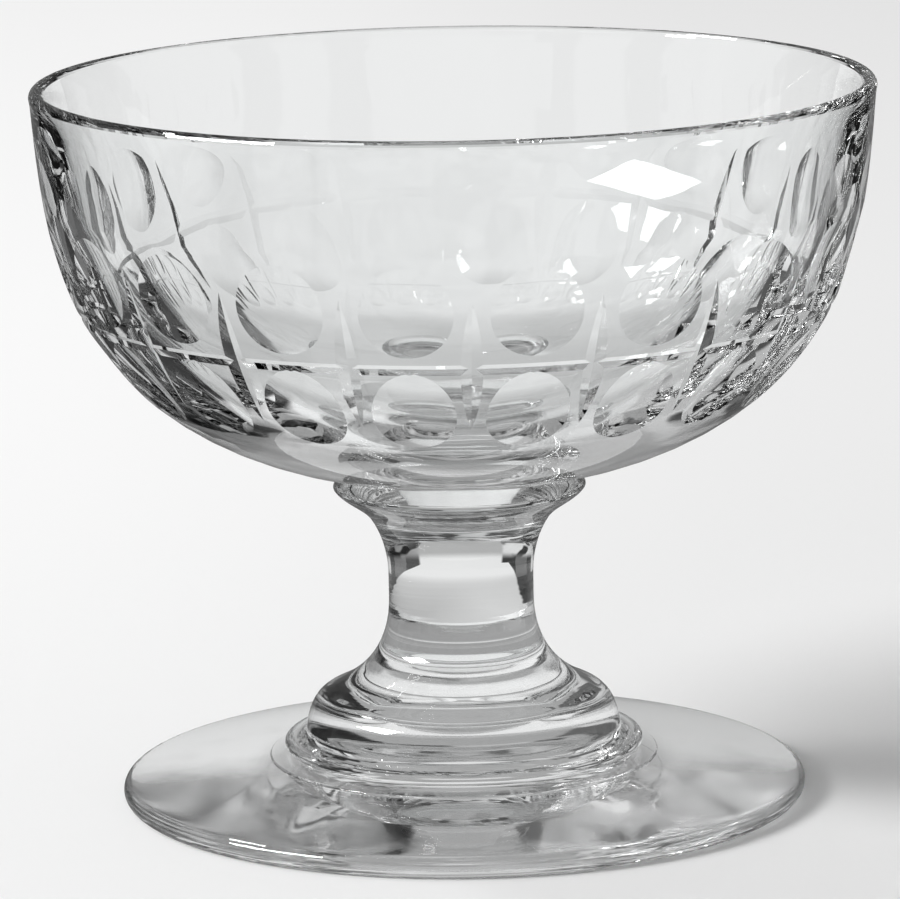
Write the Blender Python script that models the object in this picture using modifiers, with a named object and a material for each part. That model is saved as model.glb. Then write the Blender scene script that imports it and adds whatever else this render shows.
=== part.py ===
"""Cut-glass sherbet: a bowl, a collar, a stem and a foot, each a turned piece of clear glass.

Metres, +Z up. The origin is the centre of the foot's underside, and the glass turns about +Z.
The pieces are stacked from the foot upwards. Each one is a profile in the XZ plane, turned by a Screw
modifier, and the bowl's pattern is then cut into its outside by cutters shaped like the cutting wheels.
"""

from math import cos, pi, radians, sin, tan

import bmesh
import bpy
from mathutils import Matrix, Vector

# Stack above the foot
STEM_LENGTH = 0.0236
COLLAR_THICKNESS = 0.0043
BOWL_DEPTH = 0.0453
JOINT_GAP = 0.0003

# Bowl: outer wall, wall thickness and lip
RIM_DIAMETER = 0.0950
BOWL_TAPER = 0.0035
BOWL_SHOULDER = 3.35
BOWL_BELLY = 2.18
LIP_THICKNESS = 0.0017
FLOOR_THICKNESS = 0.0052

# Pattern: number of columns, where one mitre lies, and each cut's level below the lip
COLUMNS = 20
MITRE_AZIMUTH = radians(-88.0)
UPPER_DROP = 0.0188
RING_DROP = 0.0252
LOWER_DROP = 0.0307
MITRE_TOP_DROP = 0.0172
MITRE_END_DROP = 0.0325

# Cutting wheels: radius of the wheel, radius of its edge, and depth of the cut
UPPER_WHEEL_RADIUS = 0.026
UPPER_EDGE_RADIUS = 0.025
UPPER_DEPTH = 0.00080
LOWER_WHEEL_RADIUS = 0.095
LOWER_EDGE_RADIUS = 0.0235
LOWER_DEPTH = 0.00070
MITRE_DEPTH = 0.000345
MITRE_HALF_ANGLE = radians(74.0)
RING_DEPTH = 0.00023
RING_HALF_ANGLE = radians(71.0)
CUTTER_MARGIN = 0.0006

# Cutters: an ellipsoid's half height in cut depths, and how far a V runs past the ends of its cut
PRINTIE_REACH = 4.0
MITRE_OVERRUN = 1.06

# Collar: sharp-edged wafer
COLLAR_DIAMETER = 0.0287
COLLAR_EDGE = 0.0007
COLLAR_SEAT_DIAMETER = 0.0244

# Stem: top, waist, flare and shoulder
STEM_TOP_DIAMETER = 0.0200
WAIST_DIAMETER = 0.0165
WAIST_TOP_DROP = 0.0064
WAIST_LENGTH = 0.0026
SHOULDER_DIAMETER = 0.0359
SHOULDER_HEIGHT = 0.0039
SHOULDER_INSET = 0.00245

# Curve handles, as shares of the run across and of the fall
COLLAR_HANDLE_ACROSS = 0.21
COLLAR_START_FALL = 0.31
COLLAR_END_FALL = 0.56
NECK_START_ACROSS = 0.55
NECK_START_FALL = 0.23
NECK_END_FALL = 0.59
FLARE_START_FALL = 0.54
FLARE_END_ACROSS = 0.41
FLARE_END_FALL = 0.83
SHOULDER_START_ACROSS = 0.56
SHOULDER_START_FALL = 0.15
SHOULDER_END_ACROSS = 0.81
SHOULDER_END_FALL = 0.45
COVE_HANDLE_FALL = 0.60
COVE_HANDLE_ACROSS = 0.55
DISC_START_ACROSS = 0.25
DISC_START_FALL = 0.18
DISC_END_ACROSS = 0.40

# Foot, from the disc up: round edge, rise to the boss, base step, bead and cove
FOOT_DIAMETER = 0.0780
FOOT_EDGE_THICKNESS = 0.0025
DISC_EDGE_DEGREES = 11.0
DISC_RISE = 0.0021
BASE_HEIGHT = 0.0003
BASE_REACH = 0.0017
BASE_ROUND = 0.00025
BEAD_LIFT = 0.00115
BEAD_RADIUS = 0.00075
BEAD_REACH = 0.00255
COVE_HEIGHT = 0.0012

# Foot: ground underside
REST_RING_WIDTH = 0.0110
DISH_DEPTH = 0.0002
PONTIL_DIAMETER = 0.0210
PONTIL_DEPTH = 0.0007

# Facets round the axis and on the cutters, and the turns at which the bowl's profile has its points
BOWL_STEPS = 60
LOWER_STEPS = 48
FOOT_STEPS = 48
PRINTIE_STEPS = 14
MITRE_STEPS = 10
OUTER_TURNS = (8, 13, 18, 24, 30, 37, 44, 51, 58, 65, 73, 81)
INNER_TURNS = (82, 73, 64, 55, 46, 37, 28, 19, 10)
SLOPE_SHARE = 0.0005

# Levels and radii that follow from the sizes above
DISC_LEVEL = FOOT_EDGE_THICKNESS + DISC_RISE
BASE_LEVEL = DISC_LEVEL + BASE_HEIGHT
BEAD_LEVEL = BASE_LEVEL + BEAD_LIFT
FOOT_HEIGHT = BEAD_LEVEL + BEAD_RADIUS + COVE_HEIGHT
STEM_BOTTOM = FOOT_HEIGHT + JOINT_GAP
STEM_TOP = STEM_BOTTOM + STEM_LENGTH
COLLAR_BOTTOM = STEM_TOP + JOINT_GAP
COLLAR_SEAT = COLLAR_BOTTOM + COLLAR_THICKNESS
BOWL_BOTTOM = COLLAR_SEAT + JOINT_GAP
LIP_LEVEL = BOWL_BOTTOM + BOWL_DEPTH
RIM_RADIUS = RIM_DIAMETER / 2
COLLAR_RADIUS = COLLAR_DIAMETER / 2
SHOULDER_RADIUS = SHOULDER_DIAMETER / 2
BEAD_OUTER_RADIUS = SHOULDER_RADIUS + BEAD_REACH
BASE_OUTER_RADIUS = BEAD_OUTER_RADIUS + BASE_REACH
FOOT_RADIUS = FOOT_DIAMETER / 2

GLASS_COLOUR = (0.96, 0.97, 0.97, 1.0)
GLASS_IOR = 1.52
GLASS_ROUGHNESS = 0.02


def clear_scene():
    for obj in list(bpy.data.objects):
        bpy.data.objects.remove(obj, do_unlink=True)


def new_collection(name):
    collection = bpy.data.collections.new(name)
    bpy.context.scene.collection.children.link(collection)
    return collection


def glass_material(name):
    """Clear, fire-polished soda-lime glass."""
    material = bpy.data.materials.new(name)
    material.use_nodes = True
    shader = material.node_tree.nodes["Principled BSDF"]
    shader.inputs["Base Color"].default_value = GLASS_COLOUR
    shader.inputs["Metallic"].default_value = 0.0
    shader.inputs["Roughness"].default_value = GLASS_ROUGHNESS
    shader.inputs["IOR"].default_value = GLASS_IOR
    shader.inputs["Transmission Weight"].default_value = 1.0
    return material


def arc(centre_r, centre_z, radius, start, end, count):
    """Points of a round stretch, between two angles in degrees measured from +X towards +Z."""
    angles = [radians(start + (end - start) * i / count) for i in range(count + 1)]
    return [(centre_r + radius * cos(a), centre_z + radius * sin(a)) for a in angles]


def bezier(p0, p1, p2, p3, count):
    """Points of a cubic curve from p0 to p3, with p1 and p2 as its handles."""
    points = []
    for i in range(count + 1):
        t = i / count
        s = 1 - t
        weights = (s**3, 3 * s * s * t, 3 * s * t * t, t**3)
        points.append(tuple(sum(w * p[k] for w, p in zip(weights, (p0, p1, p2, p3))) for k in (0, 1)))
    return points


def turned(name, profile, steps, collection, closed=False):
    """A profile of (radius, height) points, turned about +Z. It runs down its outer side."""
    mesh = bpy.data.meshes.new(name)
    edges = [(i, i + 1) for i in range(len(profile) - 1)]
    if closed:
        edges.append((len(profile) - 1, 0))
    mesh.from_pydata([(r, 0.0, z) for r, z in profile], edges, [])
    obj = bpy.data.objects.new(name, mesh)
    collection.objects.link(obj)
    screw = obj.modifiers.new("Turn", "SCREW")
    screw.axis = "Z"
    screw.angle = 2 * pi
    screw.steps = steps
    screw.render_steps = steps
    screw.use_merge_vertices = True
    screw.merge_threshold = 0.00001
    screw.use_smooth_shade = True
    return obj


def outer_wall(depth):
    """The bowl's outer (radius, height) at a depth below the lip: a tapered superellipse."""
    share = min(max(depth / BOWL_DEPTH, 0.0), 1.0)
    fullness = (1 - share**BOWL_SHOULDER) ** (1 / BOWL_BELLY)
    return (RIM_RADIUS - BOWL_TAPER * share) * fullness, LIP_LEVEL - depth


def outward(depth):
    """The outer wall's unit normal (radial, vertical) at a depth below the lip."""
    step = BOWL_DEPTH * SLOPE_SHARE
    above = outer_wall(max(depth - step, 0.0))
    below = outer_wall(min(depth + step, BOWL_DEPTH))
    tangent = Vector((below[0] - above[0], below[1] - above[1])).normalized()
    return Vector((-tangent.y, tangent.x))


def wall_thickness(depth):
    """The wall thickens evenly from the lip to the floor."""
    return LIP_THICKNESS + (FLOOR_THICKNESS - LIP_THICKNESS) * depth / BOWL_DEPTH


def depth_at(turn):
    """Depth below the lip at a turn of 0 (lip) to 90 degrees (bottom), which spaces points evenly."""
    return BOWL_DEPTH * sin(radians(turn)) ** (2 / BOWL_SHOULDER)


def bowl_profile():
    """From the inner floor up to the round lip, and down the outer wall to the bottom."""
    lip = LIP_THICKNESS / 2
    outer = [outer_wall(depth_at(turn)) for turn in OUTER_TURNS]
    inner = []
    for turn in INNER_TURNS:
        depth = depth_at(turn)
        point = Vector(outer_wall(depth)) - outward(depth) * wall_thickness(depth)
        inner.append((point.x, point.y))
    floor = (0.0, BOWL_BOTTOM + FLOOR_THICKNESS)
    lip_round = arc(RIM_RADIUS - lip, LIP_LEVEL - lip, lip, 180, 0, 6)
    return [floor] + inner + lip_round + outer + [(0.0, BOWL_BOTTOM)]


def wall_frame(depth, azimuth):
    """Place on the outer wall: local X along the ring, local Y up the wall, local Z out of the glass."""
    radius, height = outer_wall(depth)
    radial, vertical = outward(depth)
    spin = Vector((cos(azimuth), sin(azimuth), 0.0))
    out = spin * radial + Vector((0.0, 0.0, vertical))
    along = Vector((-sin(azimuth), cos(azimuth), 0.0))
    up = out.cross(along)
    place = Matrix((along, up, out)).transposed().to_4x4()
    place.translation = spin * radius + Vector((0.0, 0.0, height))
    return place


def printie_cutter(mesh, place, wheel_radius, edge_radius, depth):
    """Adds the contact form of a round-edged wheel: an ellipsoid with the wheel's two radii at its tip."""
    reach = PRINTIE_REACH * depth
    size = Vector(((edge_radius * reach) ** 0.5, (wheel_radius * reach) ** 0.5, reach))
    offset = Matrix.Translation((0.0, 0.0, reach - depth))
    matrix = place @ offset @ Matrix.Diagonal(size).to_4x4()
    bmesh.ops.create_uvsphere(
        mesh, u_segments=PRINTIE_STEPS, v_segments=PRINTIE_STEPS, radius=1.0, matrix=matrix
    )


def mitre_cutter(mesh, azimuth):
    """Adds a V-edged wheel's cut, rolled down the wall: a loft of V sections, deepest at the middle."""
    middle = (MITRE_TOP_DROP + MITRE_END_DROP) / 2
    half = (MITRE_END_DROP - MITRE_TOP_DROP) / 2
    rows = []
    for i in range(MITRE_STEPS + 1):
        share = MITRE_OVERRUN * (2 * i / MITRE_STEPS - 1)
        depth = MITRE_DEPTH * (1 - share * share)
        place = wall_frame(middle + half * share, azimuth)
        width = (depth + CUTTER_MARGIN) * tan(MITRE_HALF_ANGLE)
        section = ((0.0, -depth), (width, CUTTER_MARGIN), (-width, CUTTER_MARGIN))
        rows.append([mesh.verts.new(place @ Vector((x, 0.0, z))) for x, z in section])
    for upper, lower in zip(rows, rows[1:]):
        for a, b in ((0, 1), (1, 2), (2, 0)):
            mesh.faces.new((upper[a], upper[b], lower[b], lower[a]))
    mesh.faces.new(rows[0][::-1])
    mesh.faces.new(rows[-1])


def cutter_object(name, fill, collection):
    """A hidden cutter, whose mesh is filled in by a function."""
    mesh = bmesh.new()
    fill(mesh)
    bmesh.ops.recalc_face_normals(mesh, faces=mesh.faces)
    data = bpy.data.meshes.new(name)
    mesh.to_mesh(data)
    mesh.free()
    data.shade_smooth()
    obj = bpy.data.objects.new(name, data)
    collection.objects.link(obj)
    return obj


def hide_cutter(obj):
    obj.hide_render = True
    obj.display_type = "WIRE"


def cut(obj, cutter):
    boolean = obj.modifiers.new("Cut " + cutter.name, "BOOLEAN")
    boolean.operation = "DIFFERENCE"
    boolean.solver = "EXACT"
    boolean.object = cutter


def ring_cutter(collection):
    """The turned V of the ring cut, standing clear of the wall on its open side."""
    place = wall_frame(RING_DROP, 0.0)
    width = (RING_DEPTH + CUTTER_MARGIN) * tan(RING_HALF_ANGLE)
    section = ((width, CUTTER_MARGIN), (-width, CUTTER_MARGIN), (0.0, -RING_DEPTH))
    points = [place @ Vector((0.0, y, z)) for y, z in section]
    return turned("ring_cutter", [(p.x, p.z) for p in points], BOWL_STEPS, collection, closed=True)


def cut_pattern(bowl, cutters):
    """Printies above and below the ring, in columns, with a mitre between each two columns."""
    pitch = 2 * pi / COLUMNS
    mitres = [MITRE_AZIMUTH + i * pitch for i in range(COLUMNS)]
    middles = [azimuth + pitch / 2 for azimuth in mitres]

    def upper(mesh):
        for azimuth in middles:
            place = wall_frame(UPPER_DROP, azimuth)
            printie_cutter(mesh, place, UPPER_WHEEL_RADIUS, UPPER_EDGE_RADIUS, UPPER_DEPTH)

    def lower(mesh):
        for azimuth in middles:
            place = wall_frame(LOWER_DROP, azimuth)
            printie_cutter(mesh, place, LOWER_WHEEL_RADIUS, LOWER_EDGE_RADIUS, LOWER_DEPTH)

    def all_mitres(mesh):
        for azimuth in mitres:
            mitre_cutter(mesh, azimuth)

    wheels = [
        cutter_object("upper_printie_cutters", upper, cutters),
        cutter_object("lower_printie_cutters", lower, cutters),
        cutter_object("mitre_cutters", all_mitres, cutters),
        ring_cutter(cutters),
    ]
    for wheel in wheels:
        hide_cutter(wheel)
        cut(bowl, wheel)


def make_bowl(parts, cutters):
    bowl = turned("bowl", bowl_profile(), BOWL_STEPS, parts)
    cut_pattern(bowl, cutters)
    return bowl


def depth_at_radius(radius):
    """Depth below the lip at which the bowl's rounded bottom has this radius, found by halving."""
    high, low = BOWL_DEPTH * 0.5, BOWL_DEPTH
    for _ in range(40):
        middle = (high + low) / 2
        if outer_wall(middle)[0] > radius:
            high = middle
        else:
            low = middle
    return (high + low) / 2


def make_collar(parts):
    """Its seat follows the bowl's bottom, and its underside runs in from a thin edge to the stem."""
    seat = []
    for share in (0.0, 0.5, 1.0):
        radius = share * COLLAR_SEAT_DIAMETER / 2
        seat.append((radius, outer_wall(depth_at_radius(radius))[1] - JOINT_GAP))
    seat[0] = (0.0, COLLAR_SEAT)
    foot = STEM_TOP_DIAMETER / 2 + JOINT_GAP
    top = COLLAR_BOTTOM + COLLAR_THICKNESS - COLLAR_EDGE
    edge = [(COLLAR_RADIUS, top + COLLAR_EDGE / 2), (COLLAR_RADIUS, top - COLLAR_EDGE / 2)]
    start = edge[1]
    across = COLLAR_HANDLE_ACROSS * (start[0] - foot)
    fall = start[1] - COLLAR_BOTTOM
    under = bezier(
        start,
        (start[0] - across, start[1] - COLLAR_START_FALL * fall),
        (foot + across, start[1] - COLLAR_END_FALL * fall),
        (foot, COLLAR_BOTTOM),
        6,
    )
    profile = seat + edge[:1] + under + [(0.0, COLLAR_BOTTOM)]
    return turned("collar", profile, LOWER_STEPS, parts)


def make_stem(parts):
    """A hollowed neck down to a straight waist, then a bell flare that turns over into a round shoulder."""
    top_radius = STEM_TOP_DIAMETER / 2
    waist = WAIST_DIAMETER / 2
    waist_top = STEM_TOP - WAIST_TOP_DROP
    waist_end = waist_top - WAIST_LENGTH
    shoulder = (SHOULDER_RADIUS - SHOULDER_INSET, STEM_BOTTOM + SHOULDER_HEIGHT)
    flare_fall = waist_end - shoulder[1]
    flare_reach = shoulder[0] - waist
    neck_across = NECK_START_ACROSS * (top_radius - waist)
    neck = bezier(
        (top_radius, STEM_TOP),
        (top_radius - neck_across, STEM_TOP - NECK_START_FALL * WAIST_TOP_DROP),
        (waist, STEM_TOP - NECK_END_FALL * WAIST_TOP_DROP),
        (waist, waist_top),
        6,
    )
    flare = bezier(
        (waist, waist_end),
        (waist, waist_end - FLARE_START_FALL * flare_fall),
        (waist + FLARE_END_ACROSS * flare_reach, waist_end - FLARE_END_FALL * flare_fall),
        shoulder,
        7,
    )
    rounding = bezier(
        shoulder,
        (
            shoulder[0] + SHOULDER_START_ACROSS * SHOULDER_INSET,
            shoulder[1] - SHOULDER_START_FALL * SHOULDER_HEIGHT,
        ),
        (
            shoulder[0] + SHOULDER_END_ACROSS * SHOULDER_INSET,
            shoulder[1] - SHOULDER_END_FALL * SHOULDER_HEIGHT,
        ),
        (SHOULDER_RADIUS, STEM_BOTTOM),
        6,
    )
    profile = [(0.0, STEM_TOP)] + neck + flare + rounding[1:] + [(0.0, STEM_BOTTOM)]
    return turned("stem", profile, LOWER_STEPS, parts)


def boss_profile():
    """A cove under the shoulder, a round bead and a base step with a round corner, from the joint down."""
    bead_r = BEAD_OUTER_RADIUS - BEAD_RADIUS
    bead = arc(bead_r, BEAD_LEVEL, BEAD_RADIUS, 120, -75, 6)
    cove_fall = FOOT_HEIGHT - bead[0][1]
    cove_reach = bead[0][0] - SHOULDER_RADIUS
    cove = bezier(
        (SHOULDER_RADIUS, FOOT_HEIGHT),
        (SHOULDER_RADIUS, FOOT_HEIGHT - COVE_HANDLE_FALL * cove_fall),
        (bead[0][0] - COVE_HANDLE_ACROSS * cove_reach, bead[0][1]),
        bead[0],
        3,
    )
    corner_r = BASE_OUTER_RADIUS - BASE_ROUND
    base = arc(corner_r, BASE_LEVEL - BASE_ROUND, BASE_ROUND, 90, 0, 3)
    return cove[:-1] + bead + [(bead_r, BASE_LEVEL)] + base


def make_foot(parts):
    """A sloping disc with a round edge, a boss under the stem, and a dished underside with a ground pontil."""
    edge = FOOT_EDGE_THICKNESS / 2
    rim = arc(FOOT_RADIUS - edge, edge, edge, 90 - DISC_EDGE_DEGREES, -90, 6)
    span = rim[0][0] - BASE_OUTER_RADIUS
    before_rim = DISC_END_ACROSS * span
    disc = bezier(
        (BASE_OUTER_RADIUS, DISC_LEVEL),
        (BASE_OUTER_RADIUS + DISC_START_ACROSS * span, DISC_LEVEL - DISC_START_FALL * DISC_RISE),
        (rim[0][0] - before_rim, rim[0][1] + before_rim * tan(radians(DISC_EDGE_DEGREES))),
        rim[0],
        4,
    )
    rest_inner = FOOT_RADIUS - edge - REST_RING_WIDTH
    pontil = PONTIL_DIAMETER / 2
    underside = [(rest_inner, 0.0), (pontil, DISH_DEPTH)]
    hollow = [(pontil * (1 - t / 3), DISH_DEPTH + PONTIL_DEPTH * t * (6 - t) / 9) for t in (1, 2, 3)]
    profile = [(0.0, FOOT_HEIGHT)] + boss_profile() + disc + rim[1:] + underside + hollow
    return turned("foot", profile, FOOT_STEPS, parts)


def main():
    clear_scene()
    parts = new_collection("sherbet_glass")
    cutters = new_collection("cutters")
    root = bpy.data.objects.new("sherbet_glass_root", None)
    parts.objects.link(root)
    pieces = [make_bowl(parts, cutters), make_collar(parts), make_stem(parts), make_foot(parts)]
    for piece in pieces:
        piece.data.materials.append(glass_material(piece.name + "_glass"))
        piece.parent = root


if __name__ == "__main__":
    main()
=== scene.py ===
"""Dresses the sherbet glass: a cut bowl, a collar, a stem and a foot of clear glass, on a pale studio floor.

Metres, +Z up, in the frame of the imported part. Every piece is turned about +Z from a profile that is worked
out here, and the bowl's outside also carries the wheel-cut pattern. Where two pieces are fused, their faces
lie on each other and carry a clear joint material, so that light passes from one piece into the next unbent.
"""

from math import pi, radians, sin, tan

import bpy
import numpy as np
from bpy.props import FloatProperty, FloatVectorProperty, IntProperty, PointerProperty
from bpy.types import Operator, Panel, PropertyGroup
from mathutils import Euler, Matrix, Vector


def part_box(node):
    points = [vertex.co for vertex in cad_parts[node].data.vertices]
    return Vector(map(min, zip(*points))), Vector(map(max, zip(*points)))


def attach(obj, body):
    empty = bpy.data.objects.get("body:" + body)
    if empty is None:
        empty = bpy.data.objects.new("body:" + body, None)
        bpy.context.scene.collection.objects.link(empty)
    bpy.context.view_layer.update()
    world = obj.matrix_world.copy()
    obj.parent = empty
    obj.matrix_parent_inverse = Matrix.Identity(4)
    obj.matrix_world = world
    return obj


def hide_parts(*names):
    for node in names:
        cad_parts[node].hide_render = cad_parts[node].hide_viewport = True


bl_info = {
    "name": "Sherbet Glass",
    "version": (1, 0, 0),
    "blender": (4, 5, 0),
    "location": "View3D > Sidebar > Sherbet Glass",
    "description": "Builds a footed sherbet glass with a wheel-cut bowl, and a pale stage to show it on",
    "category": "Add Mesh",
}

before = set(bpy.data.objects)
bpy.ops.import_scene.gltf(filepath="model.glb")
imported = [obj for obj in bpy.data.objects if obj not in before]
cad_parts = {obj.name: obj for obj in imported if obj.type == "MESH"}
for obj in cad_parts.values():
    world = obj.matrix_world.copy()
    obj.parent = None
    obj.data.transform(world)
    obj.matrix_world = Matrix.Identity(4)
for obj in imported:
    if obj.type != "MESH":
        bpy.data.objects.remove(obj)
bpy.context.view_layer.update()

BODY = "root"
MM = 0.001

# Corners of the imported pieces
BOWL_LOW, BOWL_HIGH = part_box("bowl")
COLLAR_LOW, COLLAR_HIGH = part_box("collar")
STEM_LOW, STEM_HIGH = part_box("stem")
FOOT_LOW, FOOT_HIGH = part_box("foot")

# Edges that bend by more than this many degrees are creases
SHARP_ANGLE = 7.0

# Columns and rows of the surfaces
SECTOR_COLUMNS = 34
TURNED_COLUMNS = 256
FLOOR_COLUMNS = 128
WALL_POINTS = 4001
INNER_ROWS = 26
LIP_ROWS = 11
BAND_ROWS = 8
CUT_ROW_HEIGHT = 0.30 * MM
BOTTOM_ROWS = 9
SEAT_ROWS = 4
SHELF_ROWS = 3
COLLAR_EDGE_ROWS = 7
COLLAR_ROWS = 18
NECK_ROWS = 20
WAIST_ROWS = 3
FLARE_ROWS = 36
SHOULDER_ROWS = 16
COVE_ROWS = 10
BEAD_ROWS = 18
BASE_ROWS = 8
DISC_ROWS = 24
RIM_ROWS = 24
REST_ROWS = 3
DISH_ROWS = 6
HOLLOW_ROWS = 8

# Where the inside's rows start and end, in degrees of the turn that gives the wall's curve
INNER_START, INNER_END = 87.0, 7.0

# In shares of a cell: how near a mitre's keel counts as on it, and how wide a narrow mitre is
ON_KEEL = 0.1
NARROW_MITRE = 1.5

# Handles of the turned curves, as shares of the reach across and of the fall
COLLAR_ACROSS, COLLAR_START_FALL, COLLAR_END_FALL = 0.21, 0.31, 0.56
NECK_ACROSS, NECK_START_FALL, NECK_END_FALL = 0.55, 0.23, 0.59
FLARE_START_FALL, FLARE_END_ACROSS, FLARE_END_FALL = 0.54, 0.41, 0.83
SHOULDER_START_ACROSS, SHOULDER_START_FALL = 0.56, 0.15
SHOULDER_END_ACROSS, SHOULDER_END_FALL = 0.81, 0.45
COVE_FALL, COVE_ACROSS = 0.6, 0.55
DISC_START_ACROSS, DISC_START_FALL, DISC_END_ACROSS = 0.25, 0.18, 0.40

# Where the round stretches start and end, in degrees
COLLAR_EDGE_START, COLLAR_EDGE_END = 90, -40
BEAD_START, BEAD_END = 120, -75

# The last ring of the ground hollow, as a share of the way in to the axis
HOLLOW_REACH = 0.9

# Bands inside the rest ring that are worn with it
WORN_DISH_BANDS = 3

# Least and most roughness of the glass, and the noise at which a smear starts and is full
POLISHED = (0.0, 0.03)
WORN_GLASS = (0.04, 0.28)
SMEAR_START, SMEAR_FULL = 0.45, 0.85
PAPER_ROUGHNESS = 0.9

# Slots of a piece's materials
OUTSIDE, JOINT, WORN = 0, 1, 2

# Gap between the solids of two fused pieces, which the dressed pieces share equally
JOINT_GAP = 0.3 * MM
STEM_JOINT = (FOOT_HIGH.z + STEM_LOW.z) / 2
NECK_JOINT = (STEM_HIGH.z + COLLAR_LOW.z) / 2
SEAT_JOINT = BOWL_LOW.z - JOINT_GAP / 2


def settings(context, name):
    return getattr(context.scene, "sherbet_" + name)


def length(name, default, description):
    return FloatProperty(name=name, description=description, default=default, unit="LENGTH", precision=5)


def degrees(name, default, description):
    return FloatProperty(name=name, description=description, default=radians(default), subtype="ANGLE")


def share(name, default, description):
    return FloatProperty(name=name, description=description, default=default)


def colour(name, hex_value, description):
    return FloatVectorProperty(
        name=name,
        description=description,
        default=linear(hex_value),
        subtype="COLOR",
        size=3,
        min=0.0,
        max=1.0,
    )


def linear(hex_value):
    """An sRGB hex colour as three linear numbers."""
    values = [int(hex_value[i : i + 2], 16) / 255 for i in (1, 3, 5)]
    return [v / 12.92 if v <= 0.04045 else ((v + 0.055) / 1.055) ** 2.4 for v in values]


class BowlSettings(PropertyGroup):
    rim_diameter: length("Rim diameter", BOWL_HIGH.x - BOWL_LOW.x, "Across the outside of the lip")
    taper: length("Taper", 3.5 * MM, "How much less the radius would be at the bottom of a straight wall")
    shoulder: share("Shoulder", 3.35, "Power of the depth in the wall's curve")
    belly: share("Belly", 2.18, "Power of the radius in the wall's curve")
    lip: length("Lip", 1.7 * MM, "Thickness of the wall at the lip")
    floor: length("Floor", 5.2 * MM, "Thickness of the glass at the bottom")
    seat_diameter: length("Seat", 24.4 * MM, "Across the face that is fused to the collar")


class CutSettings(PropertyGroup):
    columns: IntProperty(name="Columns", description="Printies in each row", default=20, min=3)
    mitre_azimuth: degrees("Mitre azimuth", -88.0, "Where one of the mitres lies")
    upper_drop: length("Upper drop", 18.8 * MM, "Middle of the upper printies, below the lip")
    upper_width: length("Upper width", 10.2 * MM, "Width of an upper printie")
    upper_height: length("Upper height", 10.5 * MM, "Height of an upper printie along the wall")
    upper_depth: length("Upper depth", 0.80 * MM, "Depth of an upper printie")
    lower_drop: length("Lower drop", 30.7 * MM, "Middle of the lower printies, below the lip")
    lower_width: length("Lower width", 9.1 * MM, "Width of a lower printie")
    lower_height: length("Lower height", 12.0 * MM, "Height of a lower printie along the wall")
    lower_depth: length("Lower depth", 0.70 * MM, "Depth of a lower printie")
    ring_drop: length("Ring drop", 25.2 * MM, "Bottom of the ring cut, below the lip")
    ring_depth: length("Ring depth", 0.23 * MM, "Depth of the ring cut")
    ring_angle: degrees("Ring angle", 71.0, "Half angle of the ring's V")
    mitre_top: length("Mitre top", 17.2 * MM, "Upper tip of a mitre, below the lip")
    mitre_end: length("Mitre end", 32.5 * MM, "Lower tip of a mitre, below the lip")
    mitre_depth: length("Mitre depth", 0.345 * MM, "Depth at the middle of a mitre")
    mitre_angle: degrees("Mitre angle", 74.0, "Half angle of a mitre's V")


class LowerSettings(PropertyGroup):
    collar_diameter: length("Collar", 28.7 * MM, "Across the collar's edge")
    collar_rise: length("Collar rise", 3.95 * MM, "Neck to the top of the collar's edge")
    collar_edge: length("Collar edge", 0.7 * MM, "Thickness of the collar's edge")
    neck_diameter: length("Neck", 20.2 * MM, "Across the joint between collar and stem")
    waist_diameter: length("Waist", 16.5 * MM, "Across the stem's waist")
    waist_drop: length("Waist drop", 6.4 * MM, "Top of the waist, below the top of the stem")
    waist_length: length("Waist length", 2.6 * MM, "Straight length of the waist")
    shoulder_diameter: length("Shoulder", 35.9 * MM, "Across the stem's round shoulder")
    shoulder_height: length("Shoulder height", 3.9 * MM, "Height of the round shoulder")
    shoulder_inset: length("Shoulder inset", 2.45 * MM, "How much the shoulder widens over that height")
    foot_diameter: length("Foot", FOOT_HIGH.x - FOOT_LOW.x, "Across the foot")
    foot_edge: length("Foot edge", 2.5 * MM, "Thickness of the foot's round edge")
    disc_slope: degrees("Disc slope", 11.0, "Fall of the disc where its round edge begins")
    disc_rise: length("Disc rise", 2.1 * MM, "Rise of the disc from its edge to the boss")
    base_height: length("Base height", 0.3 * MM, "Height of the boss's base step")
    base_reach: length("Base reach", 1.7 * MM, "How far the base step stands out from the bead")
    base_round: length("Base round", 0.25 * MM, "Radius of the base step's corner")
    bead_lift: length("Bead lift", 1.15 * MM, "Middle of the bead above the base step")
    bead_radius: length("Bead radius", 0.75 * MM, "Radius of the bead's round")
    bead_reach: length("Bead reach", 2.55 * MM, "How far the bead stands out from the shoulder")
    rest_width: length("Rest ring", 11.0 * MM, "Width of the flat ring that the foot stands on")
    dish: length("Dish", 0.2 * MM, "Rise of the underside inside the ring")
    pontil_diameter: length("Pontil", 21.0 * MM, "Across the ground hollow under the stem")
    pontil_depth: length("Pontil depth", 0.7 * MM, "Depth of that hollow")


class GlassSettings(PropertyGroup):
    tint: colour("Tint", "#FCFDFD", "Colour of the glass")
    ior: share("Index", 1.52, "Index of refraction of soda-lime glass")
    absorption: share("Absorption", 3.0, "Light that the grey of the glass takes, per metre")
    smear_width: length("Smear width", 9.0 * MM, "Width of the dull patches that handling leaves")
    stria_width: length("Stria width", 6.0 * MM, "Width of the soft waves that working leaves in the glass")
    ring_width: length("Ring width", 2.4 * MM, "Width of the rings that the tools leave round the stem")
    ring_start: length("Ring start", 13.0 * MM, "Level at which those rings begin")
    ring_end: length("Ring end", 23.0 * MM, "Level at which they end")
    ring_fade: length("Ring fade", 1.0 * MM, "Half of the height over which they fade in and out")
    smooth_lip: length("Smooth lip", 3.0 * MM, "Depth without waves, and that in which they start")
    bowl_waves: length("Bowl waves", 0.02 * MM, "Height of the waves in the bowl")
    stem_rings: length("Stem rings", 0.10 * MM, "Height of the rings on the stem")
    foot_waves: length("Foot waves", 0.01 * MM, "Height of the waves in the foot")


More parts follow.
